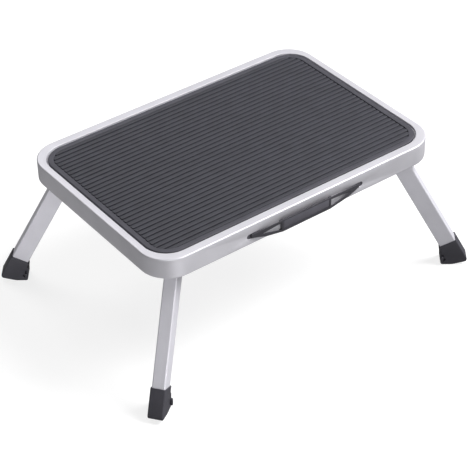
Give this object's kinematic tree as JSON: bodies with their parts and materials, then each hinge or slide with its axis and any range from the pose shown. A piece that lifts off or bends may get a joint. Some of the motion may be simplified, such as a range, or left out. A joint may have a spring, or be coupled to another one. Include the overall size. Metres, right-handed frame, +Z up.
{
  "type": "folding step stool",
  "caption": "Low step stool with a ribbed non-slip tread in a metal tray, splayed folding tube legs with rubber feet, and a carrying grip on one long side.",
  "frame": {"origin": "on the floor, under the middle of the tread", "axes": "+Z up; +X along the tread's long side; -Y towards the side with the carrying handle"},
  "size_m": [0.5322, 0.3792, 0.2045],
  "materials": {
    "tray_paint": "satin silver powder coat",
    "leg_paint": "satin silver powder coat",
    "mat_rubber": "matt, moulded ribs",
    "foot_plastic": "matt moulded",
    "handle_plastic": "satin moulded",
    "inner_steel": "zinc grey",
    "rivet_steel": "bright zinc",
    "washer_plastic": "natural nylon"
  },
  "bodies": {
    "platform": {"tray": "tray_paint", "tread_mat": "mat_rubber", "front_stiffener": "inner_steel", "rear_stiffener": "inner_steel", "slot_guide_left": "handle_plastic", "slot_guide_right": "handle_plastic", "hinge_bracket_front_left": "inner_steel", "bracket_rivets_front_left": "rivet_steel", "pivot_pin_front_left": "rivet_steel", "pivot_washers_front_left": "washer_plastic", "hinge_bracket_front_right": "inner_steel", "bracket_rivets_front_right": "rivet_steel", "pivot_pin_front_right": "rivet_steel", "pivot_washers_front_right": "washer_plastic", "hinge_bracket_rear_left": "inner_steel", "bracket_rivets_rear_left": "rivet_steel", "pivot_pin_rear_left": "rivet_steel", "pivot_washers_rear_left": "washer_plastic", "hinge_bracket_rear_right": "inner_steel", "bracket_rivets_rear_right": "rivet_steel", "pivot_pin_rear_right": "rivet_steel", "pivot_washers_rear_right": "washer_plastic"},
    "leg_front_left": {"leg_tube_front_left": "leg_paint", "leg_plug_front_left": "foot_plastic", "pivot_bush_front_left": "washer_plastic", "foot_front_left": "foot_plastic"},
    "leg_front_right": {"leg_tube_front_right": "leg_paint", "leg_plug_front_right": "foot_plastic", "pivot_bush_front_right": "washer_plastic", "foot_front_right": "foot_plastic"},
    "leg_rear_left": {"leg_tube_rear_left": "leg_paint", "leg_plug_rear_left": "foot_plastic", "pivot_bush_rear_left": "washer_plastic", "foot_rear_left": "foot_plastic"},
    "leg_rear_right": {"leg_tube_rear_right": "leg_paint", "leg_plug_rear_right": "foot_plastic", "pivot_bush_rear_right": "washer_plastic", "foot_rear_right": "foot_plastic"},
    "handle": {"handle_grip": "handle_plastic", "handle_keeper_left": "handle_plastic", "handle_keeper_right": "handle_plastic"}
  },
  "joints": [
    {"name": "fold_front_left", "type": "hinge", "parent": "platform", "child": "leg_front_left", "pos_m": [-0.1763, -0.1182, 0.181], "axis": [0.6046, -0.7965, 0], "range_deg": [0, 116.5]},
    {"name": "fold_front_right", "type": "hinge", "parent": "platform", "child": "leg_front_right", "pos_m": [0.1763, -0.1182, 0.181], "axis": [0.6046, 0.7965, 0], "range_deg": [0, 105.5]},
    {"name": "fold_rear_left", "type": "hinge", "parent": "platform", "child": "leg_rear_left", "pos_m": [-0.1763, 0.1182, 0.181], "axis": [-0.6046, -0.7965, 0], "range_deg": [0, 105.5]},
    {"name": "fold_rear_right", "type": "hinge", "parent": "platform", "child": "leg_rear_right", "pos_m": [0.1763, 0.1182, 0.181], "axis": [-0.6046, 0.7965, 0], "range_deg": [0, 116.5]},
    {"name": "handle_pull", "type": "slide", "parent": "platform", "child": "handle", "axis": [0, -1, 0], "range_m": [0, 0.012]}
  ]
}
